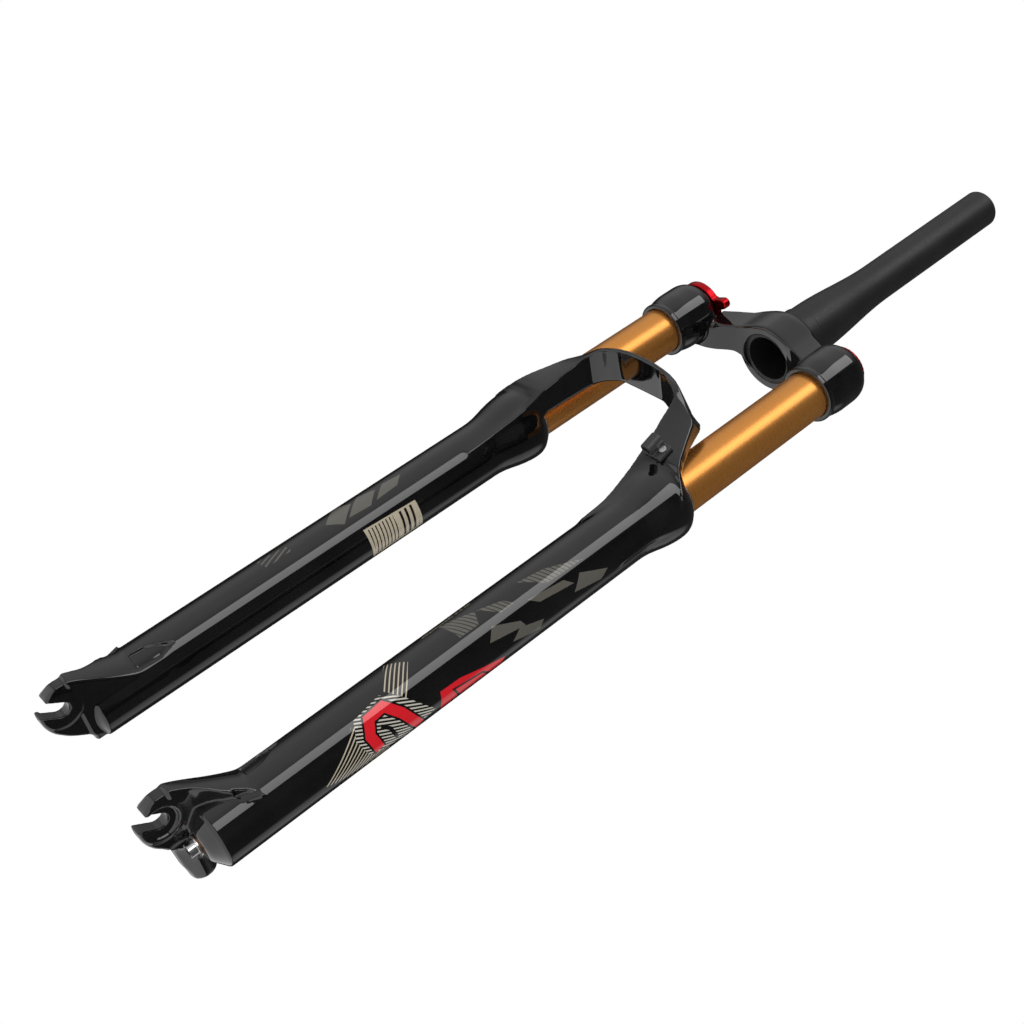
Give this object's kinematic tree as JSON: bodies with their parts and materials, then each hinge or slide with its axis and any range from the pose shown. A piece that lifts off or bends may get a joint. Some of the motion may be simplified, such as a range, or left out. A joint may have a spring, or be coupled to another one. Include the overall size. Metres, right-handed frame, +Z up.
{
  "type": "suspension fork",
  "caption": "Air-sprung mountain bike suspension fork: gloss black crown and lowers, gold stanchions, matte tapered steerer, open dropouts.",
  "frame": {"origin": "centre of the crown race seat, on the steerer axis", "axes": "+Z up the steerer axis, +Y towards the front of the bicycle, +X to the rider's right; the wheel axle lies along X"},
  "size_m": [0.176, 0.0921, 0.7702],
  "materials": {
    "gloss_black": "gloss",
    "gold_anodised": "satin anodised",
    "steerer_matte": "matte anodised",
    "black_anodised": "satin anodised",
    "red_anodised": "satin anodised",
    "bare_aluminium": "polished",
    "piston_metal": "satin",
    "steel": "brushed",
    "spring_steel": "bare",
    "chrome_bolt": "polished",
    "brass": "satin",
    "copper": "satin",
    "rubber": "matte",
    "foam": "porous",
    "bushing": "matte",
    "black_plastic": "satin"
  },
  "bodies": {
    "crown_steerer": {"steerer_tube": "steerer_matte", "crown": "gloss_black", "stanchion_right": "gold_anodised", "stanchion_left": "gold_anodised", "damper_top_cap": "black_anodised", "air_top_cap": "black_anodised", "valve_stem": "brass", "valve_core": "brass", "top_cap_orings": "rubber", "detent_ball": "steel", "compression_rod": "bare_aluminium", "compression_valve": "piston_metal", "compression_valve_oring": "rubber", "air_seal_head": "black_anodised", "damper_seal_head": "black_anodised", "seal_head_orings": "rubber", "retaining_rings": "spring_steel", "topout_bumpers": "rubber"},
    "lockout": {"lockout_knob": "red_anodised", "knob_screw": "steel", "lockout_rod": "steel", "rotary_valve": "steel"},
    "air_cap": {"air_valve_cap": "red_anodised"},
    "valve_core_pin": {"valve_pin": "steel"},
    "lowers": {"lowers": "gloss_black", "wiper_seal_right": "rubber", "wiper_seal_left": "rubber", "garter_springs": "spring_steel", "foam_ring_right": "foam", "foam_ring_left": "foam", "upper_bushing_right": "bushing", "upper_bushing_left": "bushing", "lower_bushing_right": "bushing", "lower_bushing_left": "bushing", "air_shaft": "bare_aluminium", "air_piston": "black_anodised", "air_piston_seal": "rubber", "bottom_out_bumper": "rubber", "damper_shaft": "bare_aluminium", "damper_piston": "piston_metal", "piston_band": "bushing", "rebound_shims": "spring_steel", "piston_nut": "steel", "foot_bolts": "chrome_bolt", "crush_washers": "copper", "hose_guide": "black_plastic", "hose_guide_screw": "steel"}
  },
  "joints": [
    {"name": "suspension_travel", "type": "slide", "parent": "crown_steerer", "child": "lowers", "axis": [0, 0, 1], "range_m": [0, 0.1], "stiffness_N_per_m": 4500, "springref_m": -0.012},
    {"name": "lockout_turn", "type": "hinge", "parent": "crown_steerer", "child": "lockout", "pos_m": [0.064, 0.018, -0.0267], "axis": [0, 0, -1], "range_deg": [0, 90]},
    {"name": "air_cap_off", "type": "slide", "parent": "crown_steerer", "child": "air_cap", "axis": [0, 0, 1], "range_m": [0, 0.02]},
    {"name": "valve_press", "type": "slide", "parent": "crown_steerer", "child": "valve_core_pin", "axis": [0, 0, -1], "range_m": [0, 0.0015], "stiffness_N_per_m": 600, "springref_m": -0.001}
  ]
}
